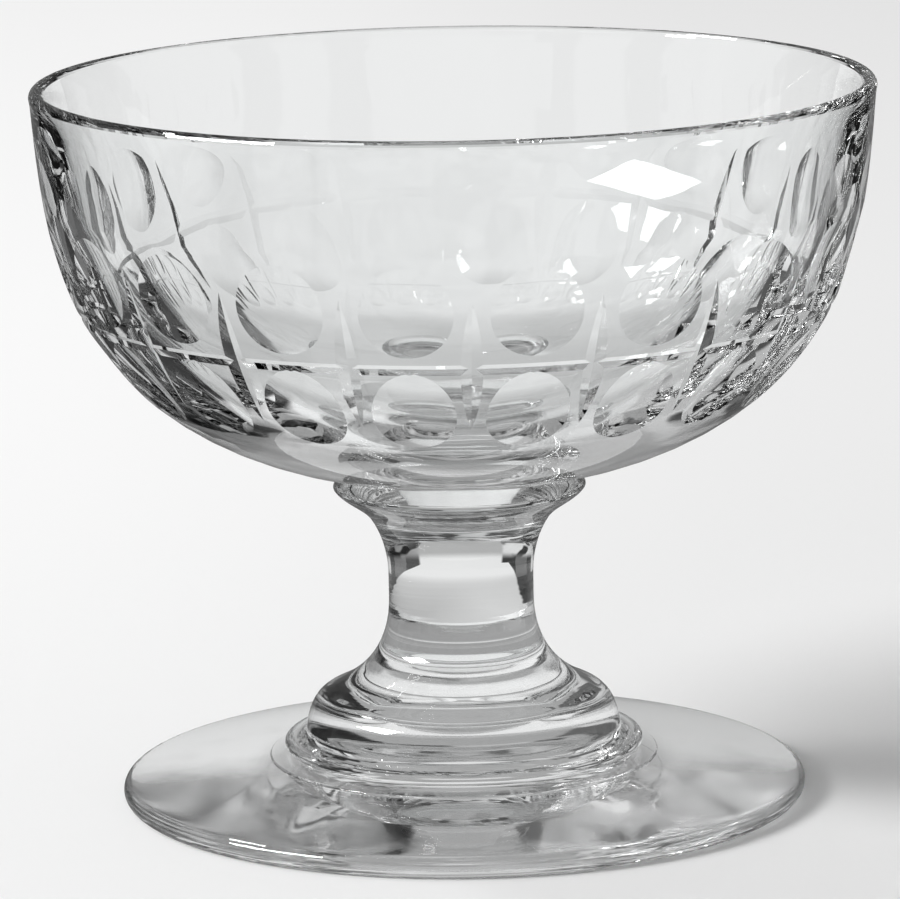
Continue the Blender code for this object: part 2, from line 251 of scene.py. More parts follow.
class StageSettings(PropertyGroup):
    floor_colour: colour("Floor", "#F7F7F7", "Pale paper")
    # Painted shade: the paper's colour on the right and in front, darker where the softbox's light falls off
    painted_floor_shade: colour("Floor shade", "#E6E6E6", "The paper's tone in front on the right")
    floor_radius: length("Floor radius", 1.5, "Reach of the floor")
    backdrop: share("Backdrop", 0.90, "Brightness of the plain background")
    ambient: share("Ambient", 0.37, "Brightness of the soft light from all round")
    paper: share("Paper", 0.90, "Brightness of the white sheets, as the glass sees them")
    strip_left: length("Strip left", 0.020, "Axis to the white strip's left edge, where its least allows")
    strip_right: length("Strip right", 0.062, "Axis to its right edge")
    spread_left: degrees("Left spread", 28.8, "How fast the left edge runs outwards")
    spread_right: degrees("Right spread", 20.8, "How fast the right edge runs outwards")
    strip_least: length("Strip least", 42.0 * MM, "Least distance of the left edge from the axis")
    screen: share("Screen", 0.47, "Brightness of the tall grey screen behind the glass")
    screen_top: degrees("Screen top", 58.0, "Elevation of that screen's top")
    flag_width: degrees("Flag width", 24.0, "Angle of each tall black flag beside that screen")
    flag_low: degrees("Flag low", 24.0, "Elevation of the flags' lower edge")
    flag_high: degrees("Flag high", 52.0, "Elevation of their upper edge")
    flag_left: share("Left flag", 0.16, "Brightness of the left flag")
    flag_right: share("Right flag", 0.02, "Brightness of the right flag")
    sheet_width: degrees("Sheet width", 48.0, "Angle of each white sheet before, behind and beside the glass")
    corner_width: degrees("Corner sheet width", 16.0, "Angle of each white sheet between those")
    corner_shade: share("Corner shade", 0.85, "How far the corner sheets behind the glass are turned down")
    sheet_start: length("Sheet start", 0.13, "Where the sheets beside the strip begin, from the axis")
    sheet_top: degrees("Sheet top", 10.0, "Elevation at which the sheets have faded into the room")
    card_left: share("Left card", 0.05, "Brightness of the black cards on the left")
    card_right: share("Right card", 0.09, "Brightness of the black cards on the right")
    room_dark: share("Dark of the room", 0.03, "Brightness of the room's dark parts")
    room_light: share("Light of the room", 0.80, "Brightness of the room's light parts")
    polariser: share("Polariser", 0.18, "Share of the outer reflections that the lens's filter lets pass")
    distance: length("Camera distance", 668.4 * MM, "Camera to the axis of the glass")
    height: length("Camera height", 174.7 * MM, "Camera above the floor")
    offset: length("Camera offset", -1.0 * MM, "Camera left or right of the axis")
    pitch: degrees("Pitch", 11.41, "How far the camera looks down")
    roll: degrees("Roll", -1.0, "How far the camera leans")
    focal_length: share("Focal length", 240.4, "In millimetres, on a sensor 36 mm wide")


def curve(points, count):
    """A cubic curve between the first and the last point, with the others as its handles, as (count, 2)."""
    t = np.linspace(0.0, 1.0, count)[:, None]
    weights = ((1 - t) ** 3, 3 * (1 - t) ** 2 * t, 3 * (1 - t) * t**2, t**3)
    return sum(w * np.array(p) for w, p in zip(weights, points))


def round_corner(centre, radius, start, end, count):
    """A round stretch about a centre, between two angles in degrees from +X towards +Z, as (count, 2)."""
    angle = np.radians(np.linspace(start, end, count))
    return np.array(centre) + radius * np.stack([np.cos(angle), np.sin(angle)], axis=1)


def straight(start, end, count):
    """Points between two ends, without the ends, as (count, 2)."""
    t = np.linspace(0.0, 1.0, count + 2)[1:-1, None]
    return (1 - t) * np.array(start) + t * np.array(end)


def turned_from(profile, columns, spin):
    """The turned profile, with its first column at an angle."""
    angle = spin + np.arange(columns) * (2 * pi / columns)
    radius, height = profile[:, 0:1], profile[:, 1:2]
    return np.stack(np.broadcast_arrays(radius * np.cos(angle), radius * np.sin(angle), height), axis=2)


def grid_triangles(rows, columns, flipped=None):
    """Two triangles for each cell of a grid that closes on itself sideways, as (2, rows - 1, columns, 3).

    A cell is split from its upper left to its lower right corner, or the other way where flipped is true.
    """
    index = np.arange(rows * columns).reshape(rows, columns)
    a, b = index[:-1], index[1:]
    c, d = np.roll(b, -1, axis=1), np.roll(a, -1, axis=1)
    if flipped is None:
        flipped = np.zeros(a.shape, bool)
    turned = flipped[..., None]
    first = np.where(turned, np.stack([a, b, d], axis=2), np.stack([a, b, c], axis=2))
    second = np.where(turned, np.stack([b, c, d], axis=2), np.stack([a, c, d], axis=2))
    return np.stack([first, second])


def closed_piece(name, rings, first_pole, last_pole, row_slots, flipped=None):
    """A closed mesh of rings between two poles on the axis.

    row_slots gives the material slot of the first fan, of each band between two rings, and of the last fan.
    """
    rows, columns = rings.shape[:2]
    points = np.concatenate([rings.reshape(-1, 3), [first_pole, last_pole]])
    bands = grid_triangles(rows, columns, flipped)
    top = np.arange(columns)
    low = (rows - 1) * columns + top
    first_fan = np.stack([np.full(columns, rows * columns), top, np.roll(top, -1)], axis=1)
    last_fan = np.stack([np.full(columns, rows * columns + 1), np.roll(low, -1), low], axis=1)
    triangles = np.concatenate([bands.reshape(-1, 3), first_fan, last_fan])
    band_slots = np.broadcast_to(np.array(row_slots[1:-1])[None, :, None], bands.shape[:3])
    ends = np.repeat([row_slots[0], row_slots[-1]], columns)
    slots = np.concatenate([band_slots.reshape(-1), ends])

    mesh = bpy.data.meshes.new(name)
    mesh.vertices.add(len(points))
    mesh.vertices.foreach_set("co", points.astype(np.float32).ravel())
    mesh.loops.add(triangles.size)
    mesh.loops.foreach_set("vertex_index", triangles.astype(np.int32).ravel())
    mesh.polygons.add(len(triangles))
    mesh.polygons.foreach_set("loop_start", np.arange(0, triangles.size, 3, dtype=np.int32))
    mesh.polygons.foreach_set("material_index", slots.astype(np.int32))
    mesh.update(calc_edges=True)
    mesh.validate()
    mesh.shade_smooth()
    mesh.set_sharp_from_angle(angle=radians(SHARP_ANGLE))
    piece = bpy.data.objects.new(name, mesh)
    bpy.context.scene.collection.objects.link(piece)
    return piece


class Wall:
    """The bowl's outer wall: its radius, level, normal and length along the wall, against the depth."""

    def __init__(self, bowl, bottom):
        depth_range = BOWL_HIGH.z - bottom
        turn_angle = np.linspace(0.0, pi / 2, WALL_POINTS)
        part = np.sin(turn_angle) ** (2 / bowl.shoulder)
        fullness = np.cos(turn_angle) ** (2 / bowl.belly)
        self.depth = depth_range * part
        self.radius = (bowl.rim_diameter / 2 - bowl.taper * part) * fullness
        self.level = BOWL_HIGH.z - self.depth
        step_r, step_z = np.gradient(self.radius), np.gradient(self.level)
        size = np.hypot(step_r, step_z)
        self.out_r, self.out_z = -step_z / size, step_r / size
        self.out_r[-1], self.out_z[-1] = 0.0, -1.0
        moved = np.hypot(np.diff(self.radius), np.diff(self.level))
        self.along = np.concatenate([[0.0], np.cumsum(moved)])
        self.thickness = bowl.lip + (bowl.floor - bowl.lip) * part

    def along_at(self, drop):
        return np.interp(drop, self.depth, self.along)

    def at(self, along):
        """Radius, level and the two parts of the outward normal at a length along the wall."""
        tables = (self.radius, self.level, self.out_r, self.out_z)
        return [np.interp(along, self.along, values) for values in tables]

    def along_at_radius(self, radius):
        return np.interp(radius, self.radius[::-1], self.along[::-1])


def folded(angle, pitch):
    """An angle brought to between minus and plus half a pitch."""
    return (angle + pitch / 2) % pitch - pitch / 2


def ring_cut(along, wall, cuts):
    """Depth of the ring cut: a V, deepest at its level and falling by the slope of its sides."""
    return cuts.ring_depth - np.abs(along - wall.along_at(cuts.ring_drop)) / tan(cuts.ring_angle)


def mitre_keel(along, wall, cuts):
    """Depth along a mitre's keel: it falls with the square of the distance from its middle."""
    top, end = wall.along_at(cuts.mitre_top), wall.along_at(cuts.mitre_end)
    return cuts.mitre_depth * (1 - ((2 * along - top - end) / (end - top)) ** 2)


def printie_cut(across, along, middle, width, height, depth):
    """Depth of a printie: it falls with the square of the distance from its middle, in shares of its size."""
    return depth * (1 - (2 * across / width) ** 2 - (2 * (along - middle) / height) ** 2)


def snap_to_printie(across, along, middle, width, height, cell):
    """Moves the points next to a printie's edge on to it, along the line from its middle.

    A point is next to the edge if the edge crosses a grid line within half a cell of it.
    Returns across, along and which points moved.
    """
    x, y = 2 * across / width, 2 * (along - middle) / height
    size = np.maximum(np.hypot(x, y), 1e-9)
    reach = np.maximum(np.abs(x) * cell[0] / width, np.abs(y) * cell[1] / height) / size
    near = np.abs(size - 1) <= reach
    scale = np.where(near, 1 / size, 1.0)
    return across * scale, middle + (along - middle) * scale, near


def cut_grid(wall, cuts, columns):
    """The outer wall with its pattern, as rings from the plain band down to the lower printies' ends.

    Rows lie on the ring's edges and bottom, and columns on the mitres' keels. Points next to the other edges
    are moved on to them, so that every crease is an edge of the mesh. The wall is then sunk along its normal
    by the deepest of the cuts at each point.
    """
    pitch = 2 * pi / cuts.columns
    upper, lower = wall.along_at(cuts.upper_drop), wall.along_at(cuts.lower_drop)
    ring = wall.along_at(cuts.ring_drop)
    ring_half = cuts.ring_depth * tan(cuts.ring_angle)
    start = upper - cuts.upper_height / 2 - CUT_ROW_HEIGHT
    end = lower + cuts.lower_height / 2 + CUT_ROW_HEIGHT
    stops = [start, ring - ring_half, ring, ring + ring_half, end]
    spans = [
        np.linspace(a, b, max(2, round((b - a) / CUT_ROW_HEIGHT)), endpoint=False)
        for a, b in zip(stops, stops[1:])
    ]
    levels = np.concatenate(spans + [[end]])
    angle = cuts.mitre_azimuth + np.arange(columns) * (2 * pi / columns)
    angle, along = np.broadcast_arrays(angle[None, :], levels[:, None])
    radius = wall.at(along)[0]
    cell = (radius * 2 * pi / columns, CUT_ROW_HEIGHT)

    across = radius * folded(angle - cuts.mitre_azimuth - pitch / 2, pitch)
    moved_x, along_new, on_upper = snap_to_printie(
        across, along, upper, cuts.upper_width, cuts.upper_height, cell
    )
    moved_x, along_new, on_lower = snap_to_printie(
        moved_x, along_new, lower, cuts.lower_width, cuts.lower_height, cell
    )
    angle = angle + (moved_x - across) / radius
    along = along_new

    across = radius * folded(angle - cuts.mitre_azimuth, pitch)
    keel = mitre_keel(along, wall, cuts)
    edge = np.maximum(keel - np.maximum(ring_cut(along, wall, cuts), 0.0), 0.0) * tan(cuts.mitre_angle)
    least = ON_KEEL * cell[0]
    beside = np.abs(np.abs(across) - cell[0]) < least
    off_keel = np.abs(across) > least
    narrow = beside & (edge < NARROW_MITRE * cell[0])
    on_mitre = (keel > 0) & off_keel & (narrow | (np.abs(np.abs(across) - edge) <= cell[0] / 2))
    target = np.sign(across) * np.maximum(edge, least)
    angle = angle + np.where(on_mitre, target - across, 0.0) / radius

    radius, level, out_r, out_z = wall.at(along)
    by_printie = radius * folded(angle - cuts.mitre_azimuth - pitch / 2, pitch)
    by_mitre = radius * folded(angle - cuts.mitre_azimuth, pitch)
    depth = np.max(
        np.stack(
            [
                np.zeros_like(along),
                printie_cut(by_printie, along, upper, cuts.upper_width, cuts.upper_height, cuts.upper_depth),
                printie_cut(by_printie, along, lower, cuts.lower_width, cuts.lower_height, cuts.lower_depth),
                ring_cut(along, wall, cuts),
                keel - np.abs(by_mitre) / tan(cuts.mitre_angle),
            ]
        ),
        axis=0,
    )
    sunk = radius - depth * out_r
    rings = np.stack([sunk * np.cos(angle), sunk * np.sin(angle), level - depth * out_z], axis=2)
    return rings, on_upper | on_lower | on_mitre, levels


def seat_profile(wall, seat_radius):
    """The bowl's bottom from the edge of its seat inwards, which the collar's seat repeats."""
    radius = np.linspace(seat_radius, 0.0, SEAT_ROWS, endpoint=False)
    return np.stack(wall.at(wall.along_at_radius(radius))[:2], axis=1)


def make_bowl(context):
    """Rings from the inner floor up the inside, over the lip, down the cut wall and in to the seat."""
    bowl, cuts = settings(context, "bowl"), settings(context, "cuts")
    wall = Wall(bowl, SEAT_JOINT)
    columns = SECTOR_COLUMNS * cuts.columns

    bend = np.linspace(radians(INNER_START), radians(INNER_END), INNER_ROWS)
    depth = (BOWL_HIGH.z - SEAT_JOINT) * np.sin(bend) ** (2 / bowl.shoulder)
    along = wall.along_at(depth)
    radius, level, out_r, out_z = wall.at(along)
    thickness = np.interp(along, wall.along, wall.thickness)
    inside = np.stack([radius - thickness * out_r, level - thickness * out_z], axis=1)
    half = bowl.lip / 2
    lip = round_corner((bowl.rim_diameter / 2 - half, BOWL_HIGH.z - half), half, 180, 0, LIP_ROWS)

    rings, on_edge, levels = cut_grid(wall, cuts, columns)
    band = np.linspace(bowl.lip, levels[0], BAND_ROWS, endpoint=False)
    seat = wall.along_at_radius(bowl.seat_diameter / 2)
    bottom = np.linspace(levels[-1], seat, BOTTOM_ROWS)[1:-1]
    above = np.concatenate([inside, lip, np.stack(wall.at(band)[:2], axis=1)])
    seat_rows = seat_profile(wall, bowl.seat_diameter / 2)
    below = np.concatenate([np.stack(wall.at(bottom)[:2], axis=1), seat_rows])

    spin = cuts.mitre_azimuth
    rings = np.concatenate([turned_from(above, columns, spin), rings, turned_from(below, columns, spin)])
    edge_rows = np.zeros(rings.shape[:2], bool)
    edge_rows[len(above) : len(above) + len(levels)] = on_edge
    right = np.roll(edge_rows, -1, axis=1)
    flipped = edge_rows[1:] & right[:-1] & ~(edge_rows[:-1] & right[1:])

    row_slots = np.full(len(rings) + 1, OUTSIDE)
    row_slots[-SEAT_ROWS:] = JOINT
    inner_floor = (0.0, 0.0, SEAT_JOINT + bowl.floor)
    piece = closed_piece("cut_bowl", rings, inner_floor, (0.0, 0.0, SEAT_JOINT), row_slots, flipped)
    look = settings(context, "glass")
    glass = clear_glass(context, "fire_polished_bowl_glass", look.bowl_waves, 0.0)
    dress(piece, "bowl", [glass, fused_joint()])


def turned_piece(name, profile, first_pole, last_pole, joints, worn=()):
    """A turned piece whose bands are outside glass, apart from the joint and worn bands that are named."""
    row_slots = np.full(len(profile) + 1, OUTSIDE)
    row_slots[list(worn)] = WORN
    row_slots[joints] = JOINT
    rings = turned_from(profile, TURNED_COLUMNS, 0.0)
    return closed_piece(name, rings, (0.0, 0.0, first_pole), (0.0, 0.0, last_pole), row_slots)


def make_collar(context):
    """The seat, the sharp edge and a hollow underside down to the neck."""
    bowl, lower = settings(context, "bowl"), settings(context, "lower")
    wall = Wall(bowl, SEAT_JOINT)
    seat = seat_profile(wall, bowl.seat_diameter / 2)[::-1]
    radius, neck = lower.collar_diameter / 2, lower.neck_diameter / 2
    top = COLLAR_LOW.z + lower.collar_rise
    low = top - lower.collar_edge
    edge_round = lower.collar_edge / 2
    edge_middle = (radius - edge_round, top - edge_round)
    shelf = straight(seat[-1], (radius - edge_round, top), SHELF_ROWS)
    edge = round_corner(edge_middle, edge_round, COLLAR_EDGE_START, COLLAR_EDGE_END, COLLAR_EDGE_ROWS)
    across, fall = COLLAR_ACROSS * (radius - neck), low - NECK_JOINT
    under = curve(
        [
            edge[-1],
            (radius - across, low - COLLAR_START_FALL * fall),
            (neck + across, low - COLLAR_END_FALL * fall),
            (neck, NECK_JOINT),
        ],
        COLLAR_ROWS,
    )[1:]
    profile = np.concatenate([seat, shelf, edge, under])
    joints = list(range(SEAT_ROWS)) + [-1]
    piece = turned_piece("collar_wafer", profile, SEAT_JOINT, NECK_JOINT, joints)
    look = settings(context, "glass")
    glass = clear_glass(context, "fire_polished_collar_glass", look.bowl_waves, 0.0)
    dress(piece, "collar", [glass, fused_joint()])


def make_stem(context):
    """A hollowed neck down to a straight waist, then a bell flare and a round shoulder."""
    lower = settings(context, "lower")
    neck, waist = lower.neck_diameter / 2, lower.waist_diameter / 2
    waist_top = STEM_HIGH.z - lower.waist_drop
    waist_end = waist_top - lower.waist_length
    foot_r = lower.shoulder_diameter / 2
    shoulder_r = foot_r - lower.shoulder_inset
    shoulder_z = STEM_LOW.z + lower.shoulder_height
    fall, reach = waist_end - shoulder_z, shoulder_r - waist
    drop = NECK_JOINT - waist_top
    top = curve(
        [
            (neck, NECK_JOINT),
            (neck - NECK_ACROSS * (neck - waist), NECK_JOINT - NECK_START_FALL * drop),
            (waist, NECK_JOINT - NECK_END_FALL * drop),
            (waist, waist_top),
        ],
        NECK_ROWS,
    )
    middle = straight((waist, waist_top), (waist, waist_end), WAIST_ROWS)
    flare = curve(
        [
            (waist, waist_end),
            (waist, waist_end - FLARE_START_FALL * fall),
            (waist + FLARE_END_ACROSS * reach, waist_end - FLARE_END_FALL * fall),
            (shoulder_r, shoulder_z),
        ],
        FLARE_ROWS,
    )
    height, inset = shoulder_z - STEM_JOINT, lower.shoulder_inset
    rounding = curve(
        [
            (shoulder_r, shoulder_z),
            (shoulder_r + SHOULDER_START_ACROSS * inset, shoulder_z - SHOULDER_START_FALL * height),
            (shoulder_r + SHOULDER_END_ACROSS * inset, shoulder_z - SHOULDER_END_FALL * height),
            (foot_r, STEM_JOINT),
        ],
        SHOULDER_ROWS,
    )
    profile = np.concatenate([top, middle, flare, rounding[1:]])
    piece = turned_piece("stem_baluster", profile, NECK_JOINT, STEM_JOINT, [0, -1])
    look = settings(context, "glass")
    glass = clear_glass(context, "fire_polished_stem_glass", look.bowl_waves, look.stem_rings)
    dress(piece, "stem", [glass, fused_joint()])


def make_foot(context):
    """A sloping disc with a round edge, a boss under the stem, and a dished underside with a hollow."""
    lower = settings(context, "lower")
    edge = lower.foot_edge / 2
    radius = lower.foot_diameter / 2
    shoulder = lower.shoulder_diameter / 2
    bead_outer = shoulder + lower.bead_reach
    base_outer = bead_outer + lower.base_reach
    disc_level = lower.foot_edge + lower.disc_rise
    base_level = disc_level + lower.base_height
    bead_level = base_level + lower.bead_lift
    bead_r = bead_outer - lower.bead_radius
    bead = round_corner((bead_r, bead_level), lower.bead_radius, BEAD_START, BEAD_END, BEAD_ROWS)
    cove_fall, cove_reach = STEM_JOINT - bead[0, 1], bead[0, 0] - shoulder
    cove = curve(
        [
            (shoulder, STEM_JOINT),
            (shoulder, STEM_JOINT - COVE_FALL * cove_fall),
            (bead[0, 0] - COVE_ACROSS * cove_reach, bead[0, 1]),
            bead[0],
        ],
        COVE_ROWS,
    )
    corner = (base_outer - lower.base_round, base_level - lower.base_round)
    base = round_corner(corner, lower.base_round, 90, 0, BASE_ROWS)
    boss = [cove[:-1], bead, [(bead_r, base_level)], base]
    rim_start = 90 - np.degrees(lower.disc_slope)
    rim = round_corner((radius - edge, edge), edge, rim_start, -90, RIM_ROWS)
    span = rim[0, 0] - base_outer
    before_rim = DISC_END_ACROSS * span
    disc = curve(
        [
            (base_outer, disc_level),
            (base_outer + DISC_START_ACROSS * span, disc_level - DISC_START_FALL * lower.disc_rise),
            (rim[0, 0] - before_rim, rim[0, 1] + before_rim * tan(lower.disc_slope)),
            rim[0],
        ],
        DISC_ROWS,
    )
    rest = radius - edge - lower.rest_width
    pontil = lower.pontil_diameter / 2
    under = straight((radius - edge, 0.0), (rest, 0.0), REST_ROWS)
    dish = straight((rest, 0.0), (pontil, lower.dish), DISH_ROWS)
    t = np.linspace(0.0, HOLLOW_REACH, HOLLOW_ROWS)[:, None]
    hollow = np.concatenate([pontil * (1 - t), lower.dish + lower.pontil_depth * t * (2 - t)], axis=1)
    profile = np.concatenate(boss + [disc, rim[1:], under, [(rest, 0.0)], dish, hollow])
    inside_ring = len(profile) - len(hollow) - len(dish)
    worn_bands = range(inside_ring - len(under) - 1, inside_ring + WORN_DISH_BANDS)
    hollow_top = lower.dish + lower.pontil_depth
    piece = turned_piece("foot_disc", profile, STEM_JOINT, hollow_top, [0], worn_bands)
    look = settings(context, "glass")
    glass = clear_glass(context, "fire_polished_foot_glass", look.foot_waves, 0.0)
    worn = clear_glass(context, "worn_underside_glass", look.foot_waves, 0.0, WORN_GLASS)
    dress(piece, "foot", [glass, fused_joint(), worn])


def dress(piece, node, materials):
    """Gives a piece its materials, and lets it stand for its node."""
    for material in materials:
        piece.data.materials.append(material)
    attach(piece, BODY)
    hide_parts(node)


def add_node(tree, kind, values=None, **options):
    """Adds a node with its options. values gives an input's value, or the output that is linked to it."""
    node = tree.nodes.new(kind)
    for key, value in options.items():
        setattr(node, key, value)
    for key, value in (values or {}).items():
        if isinstance(value, bpy.types.NodeSocket):
            tree.links.new(value, node.inputs[key])
        else:
            node.inputs[key].default_value = value
    return node


def new_material(name):
    material = bpy.data.materials.new(name)
    material.use_nodes = True
    tree = material.node_tree
    tree.nodes.clear()
    return material, tree


def clear_glass(context, name, wave_height, ring_height, roughness_range=POLISHED):
    """Soda-lime glass: clear, with dull smears and the waves and rings that tools leave in hot glass."""
    look = settings(context, "glass")
    material, tree = new_material(name)
    place = add_node(tree, "ShaderNodeTexCoord").outputs["Object"]
    waves = add_node(
        tree,
        "ShaderNodeTexNoise",
        {"Vector": place, "Scale": 1 / look.stria_width, "Detail": 1.0, "Roughness": 0.4},
    )
    _, _, level = add_node(tree, "ShaderNodeSeparateXYZ", {0: place}).outputs
    rings = add_node(
        tree,
        "ShaderNodeTexNoise",
        {"W": level, "Scale": 1 / look.ring_width, "Detail": 2.0, "Roughness": 0.5},
        noise_dimensions="1D",
    )
    tooled = maths(
        tree,
        "MULTIPLY",
        step(tree, level, look.ring_start - look.ring_fade, look.ring_start + look.ring_fade),
        step(tree, level, look.ring_end + look.ring_fade, look.ring_end - look.ring_fade),
    )
    relief = maths(tree, "SUBTRACT", rings.outputs["Fac"], 0.5)
    relief = maths(tree, "MULTIPLY", maths(tree, "MULTIPLY", relief, tooled), ring_height)
    wave_top = BOWL_HIGH.z - look.smooth_lip
    below_lip = step(tree, level, wave_top, wave_top - look.smooth_lip)
    worked = maths(tree, "MULTIPLY", waves.outputs["Fac"], below_lip)
    relief = maths(tree, "MULTIPLY_ADD", worked, wave_height, relief)
    bump = add_node(tree, "ShaderNodeBump", {"Height": relief, "Strength": 1.0, "Distance": 1.0})
    smear = add_node(
        tree, "ShaderNodeTexNoise", {"Vector": place, "Scale": 1 / look.smear_width, "Detail": 3.0}
    )
    roughness = add_node(
        tree,
        "ShaderNodeMapRange",
        {
            "Value": smear.outputs["Fac"],
            "From Min": SMEAR_START,
            "From Max": SMEAR_FULL,
            "To Min": roughness_range[0],
            "To Max": roughness_range[1],
        },
    )
    shader = add_node(
        tree,
        "ShaderNodeBsdfPrincipled",
        {
            "Base Color": (*look.tint, 1.0),
            "Roughness": roughness.outputs["Result"],
            "IOR": look.ior,
            "Transmission Weight": 1.0,
            "Normal": bump.outputs["Normal"],
        },
    )
    grey = add_node(
        tree, "ShaderNodeVolumeAbsorption", {"Color": (0.0, 0.0, 0.0, 1.0), "Density": look.absorption}
    )
    add_node(
        tree,
        "ShaderNodeOutputMaterial",
        {"Surface": shader.outputs["BSDF"], "Volume": grey.outputs["Volume"]},
    )
    return material


def fused_joint():
    """The face where two gathers of glass were fused. Nothing is left to see, so all light passes."""
    name = "fused_glass_joint"
    if name in bpy.data.materials:
        return bpy.data.materials[name]
    material, tree = new_material(name)
    shader = add_node(tree, "ShaderNodeBsdfPrincipled", {"Base Color": (1.0, 1.0, 1.0, 1.0), "Alpha": 0.0})
    add_node(tree, "ShaderNodeOutputMaterial", {"Surface": shader.outputs["BSDF"]})
    return material


def maths(tree, operation, *values):
    """The result of a math node on numbers and outputs."""
    return add_node(tree, "ShaderNodeMath", dict(enumerate(values)), operation=operation).outputs[0]


def step(tree, value, start, end):
    """0 below start, 1 above end, and a smooth climb between them."""
    node = add_node(
        tree,
        "ShaderNodeMapRange",
        {"Value": value, "From Min": start, "From Max": end},
        interpolation_type="SMOOTHSTEP",
    )
    return node.outputs["Result"]


def between(tree, share_of_second, first, second):
    """A number part of the way from the first to the second."""
    return add_node(
        tree, "ShaderNodeMix", {"Factor": share_of_second, "A": first, "B": second}, data_type="FLOAT"
    ).outputs["Result"]


def seen_by_glass(tree):
    """1 for what the glass reflects and lets through, 0 for light on the floor and for the camera's view."""
    path = add_node(tree, "ShaderNodeLightPath")
    glass = maths(tree, "MAXIMUM", path.outputs["Is Glossy Ray"], path.outputs["Is Transmission Ray"])
    return maths(tree, "MULTIPLY", glass, maths(tree, "LESS_THAN", path.outputs["Diffuse Depth"], 0.5))


# Half widths of the soft edges on the stage
SHEET_EDGE = radians(1.0)
SCREEN_EDGE = radians(1.5)
SCREEN_TOP_EDGE = radians(3.0)
FLAG_EDGE = radians(2.0)
STRIP_EDGE = 3 * MM
AXIS_EDGE = 1 * MM
AXIS_SIDE = 0.01
FLOOR_SIDE = 0.05
SKY_SIDE = 0.3
FLAG_SIDE = 0.1

# Elevation at which the sheets round the glass begin to fade
SHEET_FADE = radians(2.0)

# Painted light and shade in the paper's glow, as the glass sees it: its share under the stem, then the start,
# end and change of each ring round that
UNDER_STEM = 0.46
PAPER_RINGS = ((18 * MM, 25 * MM, 0.74), (38 * MM, 46 * MM, -0.46), (110 * MM, 170 * MM, 0.26))

# Shares of that light on the left, on the right and in front of the stem, and where they give way to 1
LEFT_SHARE, RIGHT_SHARE, FRONT_SHARE = 1.12, 0.84, 0.60
SIDE_EDGE = 20 * MM
FRONT_START, FRONT_END = -10 * MM, 6 * MM
SHARE_START, SHARE_END = 50 * MM, 140 * MM

# The paper's rings as shares of its radius, and its level, just under the foot
FLOOR_RINGS = (0.02, 0.1, 0.4, 1.0)
FLOOR_LEVEL = -0.05 * MM

# Painted shade on the paper: its colour is darker on the right, where the softbox's light falls off, and
# darker in front. How much of it comes from the right and from in front, and where it starts and ends
SHADE_RIGHT, SHADE_FRONT = 0.4, 0.6
SHADE_EDGE = 60 * MM
SHADE_BACK_START, SHADE_FRONT_END = 350 * MM, -150 * MM

# The room: width of its patches, where its dark turns to light, and its brightness on the left and right
ROOM_SCALE = 3.2
ROOM_DARK_TO, ROOM_LIGHT_FROM = 0.46, 0.54
ROOM_LEFT, ROOM_RIGHT = 1.1, 0.35
ROOM_SIDE = 0.9


def filtered(tree, stage, brightness):
    """A brightness, less in reflections on the glass's outside, which a filter on the lens holds back."""
    path = add_node(tree, "ShaderNodeLightPath")
    outside = maths(tree, "LESS_THAN", path.outputs["Transmission Depth"], 0.5)
    mirrored = maths(tree, "MULTIPLY", path.outputs["Is Glossy Ray"], outside)
    return maths(tree, "MULTIPLY", brightness, between(tree, mirrored, 1.0, stage.polariser))


def between_sheets(tree, stage, x, y):
    """0 on the white sheets that stand round the glass, out of the picture, and 1 on the cards between them.

    The black cards give clear glass its dark edges. Four wide sheets take turns with four narrow ones, of
    which the two behind the glass are turned down.
    """
    angle = maths(tree, "ARCTAN2", x, y)
    turned_down = maths(tree, "MULTIPLY", step(tree, y, -AXIS_SIDE, AXIS_SIDE), stage.corner_shade)
    share_left = 1.0
    for spacing, width, shade in (
        (pi / 2, stage.sheet_width, 0.0),
        (pi / 4, stage.corner_width, turned_down),
    ):
        from_sheet = maths(tree, "PINGPONG", angle, spacing / 2)
        off_sheet = step(tree, from_sheet, width / 2 - SHEET_EDGE, width / 2 + SHEET_EDGE)
        share_left = maths(tree, "MULTIPLY", share_left, maths(tree, "MAXIMUM", off_sheet, shade))
    return share_left


def beside_strip(tree, stage, x, y):
    """0 on the white strip that the glass stands on, and 1 beside it. It widens to the front and back."""
    away = maths(tree, "ABSOLUTE", y)
    left = maths(tree, "MULTIPLY_ADD", away, tan(stage.spread_left), stage.strip_left)
    left = maths(tree, "MAXIMUM", left, stage.strip_least)
    right = maths(tree, "MULTIPLY_ADD", away, tan(stage.spread_right), stage.strip_right)
    edge = between(tree, step(tree, x, -AXIS_EDGE, AXIS_EDGE), left, right)
    beyond = maths(tree, "SUBTRACT", maths(tree, "ABSOLUTE", x), edge)
    return step(tree, beyond, -STRIP_EDGE, STRIP_EDGE)


def lit_paper(tree, stage, x, y, reach):
    """How bright the paper's glow is, as the glass sees it: painted light under the disc, and painted shade
    under the stem, in front and on the right.
    """
    share_lit = UNDER_STEM
    for start, end, change in PAPER_RINGS:
        rise = step(tree, reach, start, end)
        share_lit = maths(tree, "MULTIPLY_ADD", rise, change, share_lit)
    near = between(tree, step(tree, x, -SIDE_EDGE, SIDE_EDGE), LEFT_SHARE, RIGHT_SHARE)
    front = between(tree, step(tree, y, FRONT_START, FRONT_END), FRONT_SHARE, 1.0)
    near = maths(tree, "MULTIPLY", near, front)
    side = between(tree, step(tree, reach, SHARE_START, SHARE_END), near, 1.0)
    return maths(tree, "MULTIPLY", maths(tree, "MULTIPLY", share_lit, side), stage.paper)


